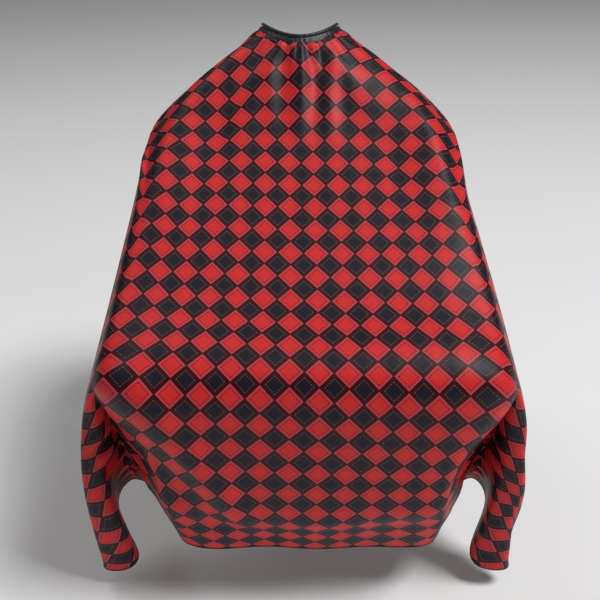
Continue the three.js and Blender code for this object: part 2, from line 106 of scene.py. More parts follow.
class Paint:
    """A material with one Principled shader, and the steps that build its node tree."""

    def __init__(self, name: str) -> None:
        """Starts the material.

        Args:
            name: the material's name.
        """
        self.material = bpy.data.materials.new(name)
        self.material.use_nodes = True
        self.tree = self.material.node_tree

    def fill(self, node: bpy.types.Node, inputs: Inputs) -> None:
        """Links each input from a socket, or fills it with a plain value."""
        for name, value in inputs.items():
            if isinstance(value, bpy.types.NodeSocket):
                self.tree.links.new(value, node.inputs[name])
            else:
                node.inputs[name].default_value = value

    def add(
        self, kind: str, inputs: Inputs, output: int | str = 0, **settings: object
    ) -> bpy.types.NodeSocket:
        """Adds a node and gives one of its outputs.

        Args:
            kind: the node's type name after ShaderNode.
            inputs: by name or number, a socket to link from or a plain value.
            output: name or number of the output.
            **settings: properties of the node.

        Returns:
            The output's socket.
        """
        node = self.tree.nodes.new("ShaderNode" + kind)
        for name, value in settings.items():
            setattr(node, name, value)
        self.fill(node, inputs)
        return node.outputs[output]

    def place(self) -> bpy.types.NodeSocket:
        """Gives the Object coordinates."""
        return self.add("TexCoord", {}, "Object")

    def maths(self, operation: str, a: object, b: object = 0.0) -> bpy.types.NodeSocket:
        """Adds one step of arithmetic."""
        return self.add("Math", {0: a, 1: b}, operation=operation)

    def blend(self, share: object, first: object, second: object) -> bpy.types.NodeSocket:
        """Mixes two colours by a share; each is a socket or an sRGB hex colour."""
        first, second = (linear(tone) if isinstance(tone, str) else tone for tone in (first, second))
        return self.add("Mix", {0: share, 6: first, 7: second}, 2, data_type="RGBA")

    def noise(self, place: object, scale: float, more: Inputs | None = None) -> bpy.types.NodeSocket:
        """Adds noise on a set of coordinates."""
        return self.add("TexNoise", {0: place, "Scale": scale, **(more or {})})

    def bands(
        self, place: object, pitch: float, along: str = "Z", more: Inputs | None = None
    ) -> bpy.types.NodeSocket:
        """Adds soft bands that repeat along an axis at a pitch in metres."""
        scale = 1 / pitch / 20 * math.tau
        return self.add("TexWave", {0: place, "Scale": scale, **(more or {})}, 1, bands_direction=along)

    def bump(
        self, height: object, strength: float, depth: float, over: Inputs | None = None
    ) -> bpy.types.NodeSocket:
        """Adds relief of a depth in metres, over other relief where there is any."""
        return self.add("Bump", {"Strength": strength, "Distance": depth, "Height": height, **(over or {})})

    def finish(self, inputs: Inputs) -> bpy.types.Material:
        """Fills the shader's inputs and gives the material."""
        self.fill(self.tree.nodes["Principled BSDF"], inputs)
        return self.material


# ---- Mesh helpers -------------------------------------------------------------------------


def deselect_all() -> None:
    """Leaves nothing selected, in object mode."""
    if bpy.context.object and bpy.context.object.mode != "OBJECT":
        bpy.ops.object.mode_set(mode="OBJECT")
    bpy.ops.object.select_all(action="DESELECT")


def only(piece: bpy.types.Object) -> None:
    """Makes a piece the one selected and active object."""
    deselect_all()
    piece.select_set(True)
    bpy.context.view_layer.objects.active = piece


def apply_modifier(piece: bpy.types.Object, kind: str, **settings: object) -> None:
    """Adds a modifier to a piece and applies it.

    Args:
        piece: the mesh object.
        kind: the modifier's type.
        **settings: the modifier's properties.
    """
    only(piece)
    modifier = piece.modifiers.new(kind.title(), kind)
    for name, value in settings.items():
        setattr(modifier, name, value)
    bpy.ops.object.modifier_apply(modifier=modifier.name)


def shade(piece: bpy.types.Object, degrees: float = 50.0) -> None:
    """Shades a mesh smooth, except over edges sharper than an angle."""
    only(piece)
    bpy.ops.object.shade_smooth_by_angle(angle=math.radians(degrees))


def new_object(name: str, data: bpy.types.ID) -> bpy.types.Object:
    """Makes an object round its data and puts it in the scene."""
    piece = bpy.data.objects.new(name, data)
    bpy.context.scene.collection.objects.link(piece)
    return piece


def new_grid(name: str, columns: int, rows: int) -> bpy.types.Object:
    """Makes a flat grid, 1 m square about the origin."""
    deselect_all()
    bpy.ops.mesh.primitive_grid_add(x_subdivisions=columns, y_subdivisions=rows, size=1)
    piece = bpy.context.object
    piece.name = piece.data.name = name
    return piece


def read_rows(items: bpy.types.bpy_prop_collection, name: str) -> np.ndarray:
    """Reads a property of three numbers from each item, as an array with a row each."""
    flat = np.empty(len(items) * 3)
    items.foreach_get(name, flat)
    return flat.reshape(-1, 3)


def points_of(piece: bpy.types.Object) -> np.ndarray:
    """Reads a mesh's points as an array with a row each."""
    return read_rows(piece.data.vertices, "co")


def move_points(piece: bpy.types.Object, points: np.ndarray) -> None:
    """Writes a mesh's points back."""
    piece.data.vertices.foreach_set("co", points.reshape(-1))
    piece.data.update()


def normals_of(piece: bpy.types.Object) -> np.ndarray:
    """Reads a mesh's point normals as an array with a row each."""
    return read_rows(piece.data.vertex_normals, "vector")


def tube(name: str, path: list[Vector], radius: float, sides: int) -> bpy.types.Object:
    """Makes a round cord, thread or roll along a path, with closed ends.

    Args:
        name: the piece's name.
        path: the points it follows.
        radius: half its thickness.
        sides: how finely its section is drawn.

    Returns:
        The mesh object.
    """
    curve = bpy.data.curves.new(name, "CURVE")
    curve.dimensions = "3D"
    spline = curve.splines.new("POLY")
    spline.points.add(len(path) - 1)
    for point, place in zip(spline.points, path):
        point.co = (*place, 1)
    curve.bevel_depth, curve.bevel_resolution = radius, sides
    curve.use_fill_caps = True
    only(new_object(name, curve))
    bpy.ops.object.convert(target="MESH")
    return bpy.context.object


def join(pieces: list[bpy.types.Object], name: str) -> bpy.types.Object:
    """Joins meshes into one piece with a name."""
    deselect_all()
    for piece in pieces:
        piece.select_set(True)
    bpy.context.view_layer.objects.active = pieces[0]
    if len(pieces) > 1:
        bpy.ops.object.join()
    pieces[0].name = pieces[0].data.name = name
    return pieces[0]


def hand_over(
    piece: bpy.types.Object, body: Body, slot: Slot, material: bpy.types.Material, nodes: list[str]
) -> None:
    """Dresses a finished piece, sets what it rides on and what it stands for, and reports it.

    Args:
        piece: the finished mesh.
        body: the body it moves with.
        slot: the record's material slot; not used.
        material: its finish.
        nodes: the CAD nodes that it replaces.
    """
    piece.data.materials.clear()
    piece.data.materials.append(material)
    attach(piece, body.value)
    if nodes:
        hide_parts(*nodes)
    LOG.info("%s: %d faces on body %s", piece.name, len(piece.data.polygons), body.value)


# ---- Finishes -----------------------------------------------------------------------------


@dataclass(frozen=True)
class PrintedCoatedPolyester:
    """Coated polyester satin, calendered and transfer printed with stitched diamonds.

    The calendered face gives broad soft highlights, and the coating keeps hair off it.
    """

    square: float = 28.284 * MM  # side of a printed square, which stands on its corner
    first: float = 10 * MM  # along the cut, centre of a black square on the centre line
    line: float = 0.03  # shares of a square's side
    rim: float = 0.088
    frame: float = 0.16
    inset: float = 0.185
    dash_half: float = 0.016
    dashes: float = 7.0
    dash_start: float = 0.75
    deep_share: float = 0.35  # of each colour's deeper tone, before the mottle
    mottle: float = 900.0
    thread: float = 0.5 * MM  # threads are 0.1 mm, drawn this coarse so that they show
    roughness: float = 0.45
    bare_roughness: float = 0.7

    def material(self, reverse: bool = False) -> bpy.types.Material:
        """Builds the material on the cut's own coordinates.

        Args:
            reverse: whether to build the unprinted side, where the print only shows through.

        Returns:
            The material.
        """
        side = "reverse of the printed polyester, uncoated" if reverse else "printed coated polyester satin"
        paint = Paint(side)
        maths, blend = paint.maths, paint.blend
        cut = paint.add("UVMap", {}, uv_map="cut")
        shift = self.first / (self.square * math.sqrt(2))
        turned: Inputs = {0: cut, "Location": (0.5 + shift, 0.5 - shift, 0)}
        turned.update({"Rotation": (0, 0, math.radians(45)), "Scale": (1 / self.square,) * 3})
        axes = paint.add("SeparateXYZ", {0: paint.add("Mapping", turned)}).node
        x, y = axes.outputs[0], axes.outputs[1]
        parity = maths("PINGPONG", maths("ADD", maths("FLOOR", x), maths("FLOOR", y)), 1.0)
        across, along = maths("FRACT", x), maths("FRACT", y)
        off_x = maths("ABSOLUTE", maths("SUBTRACT", across, 0.5))
        off_y = maths("ABSOLUTE", maths("SUBTRACT", along, 0.5))
        edge = maths("SUBTRACT", 0.5, maths("MAXIMUM", off_x, off_y))

        in_line = maths("LESS_THAN", edge, self.line)
        in_rim = maths("MULTIPLY", maths("LESS_THAN", edge, self.rim), maths("SUBTRACT", 1.0, in_line))
        in_frame = maths("LESS_THAN", edge, self.frame)
        sideways = maths("GREATER_THAN", off_x, off_y)
        run_y = maths("MULTIPLY", sideways, along)
        run = maths("ADD", run_y, maths("MULTIPLY", maths("SUBTRACT", 1.0, sideways), across))
        beat = maths("FRACT", maths("ADD", maths("MULTIPLY", run, self.dashes), self.dash_start))
        on_seam = maths("LESS_THAN", maths("ABSOLUTE", maths("SUBTRACT", edge, self.inset)), self.dash_half)
        stitched = maths("MULTIPLY", on_seam, maths("LESS_THAN", beat, 0.5))

        mottle = paint.noise(cut, self.mottle, {"Detail": 2.0})
        uneven = maths("MULTIPLY", maths("SUBTRACT", mottle, 0.5), 0.5)
        deep = maths("ADD", self.deep_share, uneven)
        red, black = blend(deep, "#DE342F", "#C8262A"), blend(deep, "#1A161F", "#241F29")
        marks = ((in_frame, "#C02C36"), (stitched, "#5A0810"), (in_rim, "#BC4C5A"), (in_line, "#40060C"))
        for mask, tone in marks:
            red = blend(mask, red, tone)
        for mask, tone in ((in_frame, "#40070D"), (stitched, "#6A5C60")):
            black = blend(mask, black, tone)
        colour = blend(parity, black, red)
        if reverse:
            colour = blend(0.6, colour, "#8A6468")

        # Satin floats run across the cut and warp threads along it.
        threads = paint.bands(cut, self.thread, "Y", {"Distortion": 1.5, "Detail": 1.0, "Detail Scale": 2.0})
        creases = paint.noise(cut, 28.0, {"Detail": 3.0, "Roughness": 0.55})
        fine = paint.bump(threads, 0.06, 0.2 * MM)
        rough = self.bare_roughness if reverse else self.roughness
        return paint.finish({
            "Base Color": colour,
            "Normal": paint.bump(creases, 0.35, 2.2 * MM, {"Normal": fine}),
            "Roughness": maths("ADD", rough, maths("MULTIPLY", uneven, 0.25)),
            "IOR": 1.5,
            "Specular IOR Level": 0.2,
        })


@dataclass(frozen=True)
class BlackSatin:
    """Woven polyester satin, piece dyed black, used for the neckband and its tab.

    Its floats give a tight highlight that breaks up over the puckers.
    """

    name: str = "woven black polyester satin"
    thread: float = 0.45 * MM  # threads are 0.12 mm, drawn this coarse so that they show
    roughness: float = 0.34

    def material(self) -> bpy.types.Material:
        """Builds the material on Object coordinates."""
        paint = Paint(self.name)
        place = paint.place()
        rows = paint.bands(place, self.thread, more={"Distortion": 2.0, "Detail": 1.0})
        worn = paint.noise(place, 160.0, {"Detail": 3.0})
        weave = paint.bump(rows, 0.25, 0.2 * MM)
        return paint.finish({
            "Base Color": paint.blend(worn, "#131416", "#22262A"),
            "Normal": paint.bump(worn, 0.4, 0.8 * MM, {"Normal": weave}),
            "Roughness": paint.add("MapRange", {0: worn, 3: self.roughness - 0.06, 4: self.roughness + 0.12}),
            "Sheen Weight": 0.2,
            "Sheen Tint": linear("#B9C4C0"),
        })


@dataclass(frozen=True)
class KnittedElastic:
    """Warp-knitted elastic tape: matt polyester over rubber cores, with a rib for each core."""

    rib: float = 1.1 * MM

    def material(self) -> bpy.types.Material:
        """Builds the material on Object coordinates."""
        paint = Paint("knitted black elastic")
        ribs = paint.bands(paint.place(), self.rib)
        return paint.finish({
            "Base Color": paint.blend(ribs, "#17171A", "#34343A"),
            "Normal": paint.bump(ribs, 0.7, 0.5 * MM),
            "Roughness": 0.85,
        })


@dataclass(frozen=True)
class NickelPlatedBrass:
    """Stamped brass, barrel plated with nickel: bright, with tumbling haze and handling scratches."""

    scratch: float = 0.6 * MM

    def material(self) -> bpy.types.Material:
        """Builds the material on Object coordinates."""
        paint = Paint("nickel plated stamped brass")
        place = paint.place()
        haze = paint.noise(place, 700.0, {"Detail": 4.0})
        marks = paint.bands(place, self.scratch, "DIAGONAL", {"Distortion": 9.0, "Detail": 3.0})
        return paint.finish({
            "Base Color": paint.blend(haze, "#C9CBC8", "#A9ABA8"),
            "Normal": paint.bump(marks, 0.08, 0.1 * MM),
            "Roughness": paint.add("MapRange", {0: haze, 3: 0.16, 4: 0.34}),
            "Metallic": 1.0,
        })


@dataclass(frozen=True)
class WovenLabelSatin:
    """White woven label tape, heat cut and folded at the seam."""

    pick: float = 0.4 * MM

    def material(self) -> bpy.types.Material:
        """Builds the material on Object coordinates."""
        paint = Paint("white woven label satin")
        picks = paint.bands(paint.place(), self.pick, more={"Distortion": 0.6})
        return paint.finish({
            "Base Color": paint.blend(picks, "#DAD7CF", "#F2F0EA"),
            "Normal": paint.bump(picks, 0.4, 0.2 * MM),
            "Roughness": 0.55,
            "Sheen Weight": 0.25,
        })


# ---- The neckband's curve -----------------------------------------------------------------


@dataclass(frozen=True)
class NeckRing:
    """The closed, saddle-shaped line of the neckband's top edge."""

    radius: float = 62.5 * MM
    front: float = 5 * MM
    side: float = 14 * MM
    back: float = -16 * MM
    height: float = 12 * MM
    flare: float = 0.5
    free_end: float = 177.0  # degrees from the throat towards the wearer's left
    root_end: float = 192.0

    @property
    def start(self) -> float:
        """Angle of the root end, counted from the throat the other way round."""
        return self.root_end - 360

    def top(self, degrees: float) -> float:
        """Height of the band's top edge at an angle."""
        angle = math.radians(degrees)
        swing = (self.front - self.back) / 2
        mean = ((self.front + self.back) / 2 + self.side) / 2
        return mean + swing * math.cos(angle) + (mean - self.side) * math.cos(2 * angle)

    def at(self, degrees: float, out: float = 0.0, down: float = 0.0) -> Vector:
        """Gives a place on the band.

        Args:
            degrees: angle from the throat towards the wearer's left.
            out: distance outside the outer face.
            down: distance below the top edge.

        Returns:
            The place.
        """
        angle = math.radians(degrees)
        reach = self.radius + out + self.flare * down
        return Vector((reach * math.sin(angle), -reach * math.cos(angle), self.top(degrees) - down))

    def seat(self, degrees: float, down: float) -> Matrix:
        """Gives the frame whose Z axis leaves the band squarely at a place."""
        round_it = self.at(degrees + 1, 0, down) - self.at(degrees - 1, 0, down)
        up = self.at(degrees) - self.at(degrees, 0, self.height)
        normal = round_it.cross(up).normalized()
        turn = normal.to_track_quat("Z", "Y").to_matrix().to_4x4()
        return Matrix.Translation(self.at(degrees, 0, down)) @ turn


# ---- The draped sheet ---------------------------------------------------------------------


@dataclass(frozen=True)
class Rib:
    """One line of control points from the neckband down to the hem, in millimetres.

    A knot is (sideways, forward, height, across, along): the place where it hangs, and then its place
    on the flat cut.
    """

    angle: float
    neck_cut: tuple[float, float]
    knots: tuple[tuple[float, float, float, float, float], ...]


RIBS: tuple[Rib, ...] = (
    Rib(0, (0, 70), (  # front centre: chest, lap, knees, shins, and the hem that turns under
        (0, 174, -149, 0, 250), (0, 369, -293, 0, 490), (0, 478, -351, 0, 616),
        (0, 506, -412, 0, 686), (0, 500, -520, 0, 796), (0, 483, -611, 0, 890),
        (0, 464, -643, 0, 928), (0, 430, -702, 0, 1000))),
    Rib(34, (39, 58), (  # inside the panel's edge
        (103, 174, -149, 112, 248), (168, 369, -293, 178, 488), (203, 478, -352, 206, 617),
        (213, 505, -412, 213, 684), (200, 490, -510, 202, 780), (186, 474, -600, 190, 872),
        (178, 456, -632, 184, 908), (165, 430, -699, 172, 1000))),
    Rib(46, (50, 49), (  # the panel's edge, where it turns back
        (137, 167, -142, 148, 230), (207, 360, -288, 220, 478), (272, 478, -368, 264, 630),
        (284, 478, -418, 268, 672), (226, 464, -520, 240, 778), (212, 444, -598, 224, 868),
        (208, 424, -632, 220, 905), (205, 375, -704, 212, 1000))),
    Rib(57, (59, 38), (  # the valley between panel and corner
        (167, 157, -128, 180, 215), (230, 345, -280, 246, 462), (284, 462, -376, 276, 622),
        (286, 425, -440, 284, 690), (282, 378, -520, 296, 780), (276, 340, -590, 310, 868),
        (274, 322, -620, 318, 908), (272, 290, -670, 330, 1000))),
    Rib(62, (61.8, 32.9), (  # where the valley turns into the corner's inner face
        (180, 149, -119, 192, 203), (238, 335, -274, 254, 451), (285, 461, -375, 278, 618),
        (288, 432, -447, 292, 686), (284, 396, -540, 322, 785), (290, 375, -600, 345, 868),
        (293, 362, -632, 358, 905), (296, 345, -675, 378, 1000))),
    Rib(67, (64.5, 27), (  # inner face of the hanging corner
        (192, 140, -109, 204, 190), (246, 325, -268, 262, 440), (286, 460, -374, 281, 615),
        (290, 440, -455, 300, 680), (288, 434, -535, 335, 768), (283, 426, -615, 372, 858),
        (276, 416, -662, 392, 900), (262, 400, -748, 432, 1000))),
    Rib(76, (68, 17), (  # outer face of the hanging corner
        (209, 112, -107, 222, 160), (250, 292, -247, 272, 385), (287, 450, -372, 286, 595),
        (315, 446, -465, 325, 670), (321, 440, -540, 365, 740), (322, 430, -630, 415, 835),
        (320, 420, -690, 440, 895), (316, 406, -770, 484, 992))),
    Rib(85, (69.7, 6), (  # back of the hanging corner
        (220, 75, -117, 238, 140), (251, 250, -216, 275, 345), (274, 385, -325, 283, 525),
        (302, 383, -395, 330, 565), (316, 378, -490, 390, 630), (320, 372, -580, 450, 700),
        (320, 368, -635, 475, 755), (318, 361, -705, 500, 845))),
    Rib(95, (69.7, -6), (  # forearm
        (220, 45, -117, 235, 115), (248, 150, -150, 272, 225), (251, 215, -205, 286, 315),
        (265, 215, -240, 325, 325), (271, 215, -290, 372, 330), (272, 214, -340, 420, 335),
        (272, 213, -372, 450, 338), (270, 212, -425, 500, 340))),
    Rib(112, (65, -26), (  # shoulder
        (149, 6, -55, 165, 20), (221, 18, -116, 245, 62), (247, 26, -146, 283, 90),
        (255, 26, -176, 312, 93), (259, 24, -220, 356, 94), (260, 22, -270, 405, 95),
        (260, 21, -310, 445, 95), (258, 20, -365, 500, 95))),
    Rib(138, (47, -52), (  # back corner
        (115, -62, -58, 125, -80), (185, -84, -108, 205, -60), (215, -98, -144, 245, -60),
        (226, -108, -176, 272, -85), (235, -117, -255, 318, -148), (240, -125, -340, 365, -215),
        (240, -127, -415, 412, -280), (238, -128, -505, 475, -360))),
    Rib(160, (24, -66), (  # shoulder blade
        (58, -98, -62, 62, -110), (82, -124, -97, 92, -155), (96, -140, -118, 105, -182),
        (101, -147, -146, 112, -210), (104, -149, -190, 116, -255), (106, -150, -231, 120, -300),
        (106, -150, -275, 122, -345), (106, -148, -322, 125, -390))),
    Rib(174, (7.3, -69.6), (  # edge of the back opening
        (11, -102, -64, 8, -118), (7, -128, -98, 5, -160), (5, -143, -118, 4, -185),
        (5, -150, -146, 4, -212), (5, -152, -190, 4, -256), (5, -153, -231, 4, -300),
        (5, -153, -275, 4, -345), (5, -152, -318, 4, -390))),
)


def smooth_path(knots: np.ndarray, steps: int) -> np.ndarray:
    """Runs a smooth curve through knots.

    Args:
        knots: one row for each knot, of any width.
        steps: points to a span.

    Returns:
        The curve's points, a row each.
    """
    ends = np.concatenate([[2 * knots[0] - knots[1]], knots, [2 * knots[-1] - knots[-2]]])
    made = []
    for i in range(len(knots) - 1):
        a, b, c, d = ends[i : i + 4]
        for t in np.arange(steps) / steps:
            bend, twist = 2 * a - 5 * b + 4 * c - d, 3 * b - a - 3 * c + d
            made.append(0.5 * (2 * b + (c - a) * t + bend * t**2 + twist * t**3))
    return np.array([*made, knots[-1]])


def ramp(value: np.ndarray, low: float, high: float) -> np.ndarray:
    """Eases from 0 at low to 1 at high, or the other way round where high is the smaller."""
    share = np.clip((value - low) / (high - low), 0, 1)
    return share * share * (3 - 2 * share)


def hump(value: np.ndarray, centre: float, width: float) -> np.ndarray:
    """Rises to 1 at a centre and falls away over a width on both sides."""
    return np.exp(-(((value - centre) / width) ** 2))


def cut_of(cloth: bpy.types.Object) -> np.ndarray:
    """Reads each mesh point's place on the flat cut back from its map."""
    loops = cloth.data.loops
    uv = np.empty(len(loops) * 2)
    cloth.data.uv_layers["cut"].data.foreach_get("uv", uv)
    index = np.empty(len(loops), int)
    loops.foreach_get("vertex_index", index)
    cut = np.zeros((len(cloth.data.vertices), 2))
    cut[index] = uv.reshape(-1, 2)
    return cut


@dataclass
class DrapedSheet:
    """The printed sheet, cut flat, hung on the client's outline, then settled as cloth."""

    ring: NeckRing
    half_width: float = 500 * MM
    front: float = 1000 * MM  # from the neck hole's centre to the front hem
    back: float = 390 * MM
    hole: float = 70 * MM
    slit: float = 4 * MM
    corner: float = 62 * MM
    mesh_size: float = 12 * MM
    neck_mesh: float = 8 * MM  # finer round the neck, for the gathers
    thick: float = 1.1 * MM
    overlap: float = 7.7 * MM  # seam allowance, sewn over the band's lower edge
    settle_frames: int = 24
    hold: float = 0.3  # how firmly the client's body holds the cloth in place
    neck_hold: float = 0.6  # added near the neck
    net_steps: int = 6
    gathers: float = 5.0  # heights of the folds pressed in, in millimetres
    pleats: float = 3.2
    fan: float = 2.2
    cones: float = 5.5
    bias_fold: float = 9.0
    swags: float = 4.5
    slack: float = 2.2
    long_folds: float = 6.0
    knee: tuple[float, float] = (268, 615)  # across and along the cut, in millimetres

    def control_net(self) -> tuple[np.ndarray, np.ndarray, list[tuple[int, int, int]]]:
        """Smooths the ribs into one fine net.

        Returns:
            Places on the cut, places as hung, and the triangles that join them.
        """
        half = []
        for rib in RIBS:
            lapped = float(ramp(rib.angle, 140, 105))  # behind, the seam stays clear of the snaps
            out, down = (2.2 * lapped - 0.6) * MM, self.ring.height + 1.1 * MM - self.overlap * lapped
            start = self.ring.at(rib.angle, out, down) / MM
            half.append([(start.x, -start.y, start.z, *rib.neck_cut), *rib.knots])
        right = np.array(half, float)
        left = right[1:][::-1].copy()
        left[:, :, [0, 3]] *= -1
        net = smooth_path(np.concatenate([left, right]), self.net_steps)
        net = np.array([smooth_path(column, self.net_steps) for column in net]) * MM
        columns, rows, _ = net.shape
        hung = net[:, :, :3].reshape(-1, 3).copy()
        hung[:, 1] *= -1
        cut = net[:, :, 3:].reshape(-1, 2)
        triangles = []
        for c in range(columns - 1):
            for r in range(rows - 1):
                a, b = c * rows + r, c * rows + r + 1
                triangles += [(a, b, b + rows), (a, b + rows, a + rows)]
        return cut, hung, triangles

    def grading(self, low: float, near: float, far: float, high: float) -> np.ndarray:
        """Spaces grid lines from low to high, closer together from near to far."""
        spans = ((low, near, self.mesh_size), (near, far, self.neck_mesh), (far, high, self.mesh_size))
        lines = [np.linspace(a, b, int(round((b - a) / step)) + 1)[:-1] for a, b, step in spans]
        return np.concatenate([*lines, [high]])

    def flat_cut(self) -> tuple[np.ndarray, list[tuple[int, int, int, int]]]:
        """Lays a grid over the flat cut, with its neck hole, back slit and rounded corners.

        Returns:
            The grid's points, and its faces.
        """
        across = self.grading(-self.half_width, -0.12, 0.12, self.half_width)
        along = self.grading(-self.back, -0.09, 0.166, self.front)
        columns, rows, middle = len(across), len(along), len(across) // 2
        points: list[tuple[float, float]] = []
        known: dict[tuple[int, int, int], int] = {}
        faces = []

        def place(i: int, j: int, side: int) -> int:
            """Numbers a grid point, moved onto the hole, the slit or a round corner."""
            s, l = across[i], along[j]
            on_slit = i == middle and l < 0
            key = (i, j, side if on_slit else 0)
            if key not in known:
                reach = math.hypot(s, l)
                if reach < self.hole + self.neck_mesh / 2:
                    s, l = self.hole * s / reach, self.hole * l / reach
                if on_slit:
                    s = self.slit * side
                known[key] = len(points)
                points.append(self.round_corner(s, l))
            return known[key]

        for j in range(rows - 1):
            for i in range(columns - 1):
                corners = [(i, j), (i + 1, j), (i + 1, j + 1), (i, j + 1)]
                if min(math.hypot(across[a], along[b]) for a, b in corners) < self.hole - self.neck_mesh / 2:
                    continue
                side = 1 if i >= middle else -1
                faces.append(tuple(place(a, b, side) for a, b in reversed(corners)))
        return np.array(points), faces

    def round_corner(self, s: float, l: float) -> tuple[float, float]:
        """Pulls a point of the cut in where its corner is rounded."""
        inner = self.half_width - self.corner
        for centre, sign in ((self.front - self.corner, 1), (self.corner - self.back, -1)):
            over, past = abs(s) - inner, sign * (l - centre)
            if over > 0 and past > 0:
                share = max(over, past) / math.hypot(over, past)
                return math.copysign(inner + over * share, s), centre + sign * past * share
        return s, l

    def lean(self, cut: np.ndarray) -> np.ndarray:
        """Shifts the cut a little along itself, since the cape isn't put on quite straight."""
        s, l = cut[:, 0], cut[:, 1]
        left = np.minimum(s, 0) * 0.06 * ramp(l, 0.15, 0.3)
        right = np.maximum(s, 0) * 0.05 * ramp(l, 0.42, 0.62)
        return np.stack([s, l + (left + right) * ramp(l, 0.93, 0.75)], axis=1)

    def sway(self, cut: np.ndarray) -> np.ndarray:
        """Gives how far the client's seat and hands push each point towards +X."""
        s, l = cut[:, 0], cut[:, 1]
        lap = 6 * MM * ramp(l, 0.1, 0.55) * (1 - 0.4 * ramp(l, 0.68, 0.85))
        shoulder = 8 * MM * ramp(s, 0.03, 0.2) * ramp(l, 0.3, 0.15) * ramp(l, -0.15, 0.0)
        corner = 9 * MM * ramp(s, 0.26, 0.4) * ramp(l, 0.7, 0.95)
        panel = 18 * MM * ramp(s, 0.08, 0.2) * ramp(s, 0.3, 0.24) * ramp(l, 0.82, 0.95)
        return lap + shoulder + corner + panel

    def hang(self, cut: np.ndarray) -> np.ndarray:
        """Finds where each point of the flat cut hangs.

        Args:
            cut: places on the flat cut.

        Returns:
            Their places on the client's outline.
        """
        net_cut, net_hung, triangles = self.control_net()
        flat = [Vector((s, l, 0)) for s, l in net_cut]
        hung = [Vector(p) for p in net_hung]
        tree = BVHTree.FromPolygons(flat, triangles)
        places = []
        for s, l in self.lean(cut):
            near, _, index, _ = tree.find_nearest(Vector((s, l, 0)))
            flat_corners, hung_corners = ([net[k] for k in triangles[index]] for net in (flat, hung))
            places.append(barycentric_transform(near, *flat_corners, *hung_corners))
        hung = np.array(places)
        hung[:, 0] += self.sway(cut)
        return hung

    def settle(self, cloth: bpy.types.Object, cut: np.ndarray) -> None:
        """Lets the sheet settle as cloth, from its hung outline towards its flat cut's lengths.

        Args:
            cloth: the hung mesh.
            cut: places on the flat cut, in the mesh's order.
        """
        only(cloth)
        cloth.shape_key_add(name="Basis")
        flat_key = cloth.shape_key_add(name="flat")
        rest = np.stack([cut[:, 0], -cut[:, 1], np.zeros(len(cut))], axis=1)
        flat_key.data.foreach_set("co", rest.reshape(-1))
        flat_key.value = 0
        group = cloth.vertex_groups.new(name="held")
        reach = np.hypot(cut[:, 0], cut[:, 1])
        firm = self.hold + self.neck_hold * ramp(reach, 0.24, 0.1)
        firm[reach < self.hole + 2 * MM] = 1.0
        for i, weight in enumerate(firm):
            group.add([i], float(weight), "REPLACE")
        modifier = cloth.modifiers.new("Cloth", "CLOTH")
        settings = {
            "quality": 8,
            "mass": 0.02,
            "tension_stiffness": 40,
            "compression_stiffness": 40,
            "shear_stiffness": 15,
            "bending_stiffness": 0.5,
            "air_damping": 3,
            "vertex_group_mass": "held",
            "pin_stiffness": 1,
            "rest_shape_key": flat_key,
        }
        for name, value in settings.items():
            setattr(modifier.settings, name, value)
        modifier.collision_settings.use_collision = False
        modifier.collision_settings.use_self_collision = False
        modifier.point_cache.frame_start, modifier.point_cache.frame_end = 1, self.settle_frames + 5
        for frame in range(1, self.settle_frames + 1):
            bpy.context.scene.frame_set(frame)
        shown = cloth.evaluated_get(bpy.context.evaluated_depsgraph_get())
        settled = np.array([v.co for v in shown.data.vertices])
        cloth.modifiers.remove(modifier)
        cloth.shape_key_clear()
        cloth.vertex_groups.clear()
        move_points(cloth, settled)
        bpy.context.scene.frame_set(1)

    def fold(self, cloth: bpy.types.Object) -> None:
        """Presses in the gathers, pleats and hanging folds that are finer than the cloth run."""
        cut = cut_of(cloth)
        s, l = cut[:, 0] / MM, cut[:, 1] / MM
        side = np.abs(s)
        below = np.hypot(s, l) - self.hole / MM
        round_it = np.arctan2(s, l)
        lift = np.zeros(len(s))
        # Short gathers where the sheet is sewn under the band, strongest at the throat.
        crowd = 0.45 + 0.55 * ramp(np.abs(round_it), 0.75, 0.2)
        beat = round_it * 26 + 1.3 * np.sin(round_it * 7.0) + 0.8 * np.sin(round_it * 17.0 + 1.0)
        lift += self.gathers * crowd * (0.55 + np.sin(beat)) * np.exp(-below / 26) * ramp(below, 1, 9)
        # Wider folds that run on down the chest.
        wave = np.sin(s / 9.0 + 0.9 + 0.004 * l) * ramp(side, 85, 35)
        lift += self.pleats * wave * ramp(below, 4, 40) * ramp(below, 190, 60)
        fan = ramp(below, 10, 70) * ramp(below, 240, 90) * ramp(side, 30, 80)
        lift += self.fan * np.sin(round_it * 11 + 0.6) * fan
        # Cone folds from each knee down the hanging corner.
        knee_s, knee_l = side - self.knee[0], l - self.knee[1]
        spread = np.arctan2(knee_l, knee_s)
        length = np.hypot(knee_s, knee_l)
        corner = ramp(side, 265, 330) * ramp(l, 560, 680)
        lift += self.cones * np.sin(spread * 15 + 0.02 * s) * ramp(length, 80, 220) * corner
        # A bias fold from the wearer's right knee down to the hem.
        aside = (s + 250) * 0.83 - (l - 640) * 0.56
        bias = ramp(s, -60, -110) * ramp(side, 300, 255) * ramp(l, 610, 680) * ramp(l, 960, 880)
        lift += self.bias_fold * (hump(aside, 0, 30) - hump(aside, -48, 34)) * bias
        # Swags across the turn beside the panel.
        turn = ramp(side, 235, 275) * ramp(side, 360, 310) * ramp(l, 700, 780) * ramp(l, 990, 930)
        lift += self.swags * np.sin((l + 0.55 * side) / 8.5) * turn
        # Slack in the panel over the shins and along its hem.
        lift += self.slack * np.sin(s / 27.0 + 0.8 + l / 160) * ramp(l, 800, 980) * ramp(side, 220, 160)
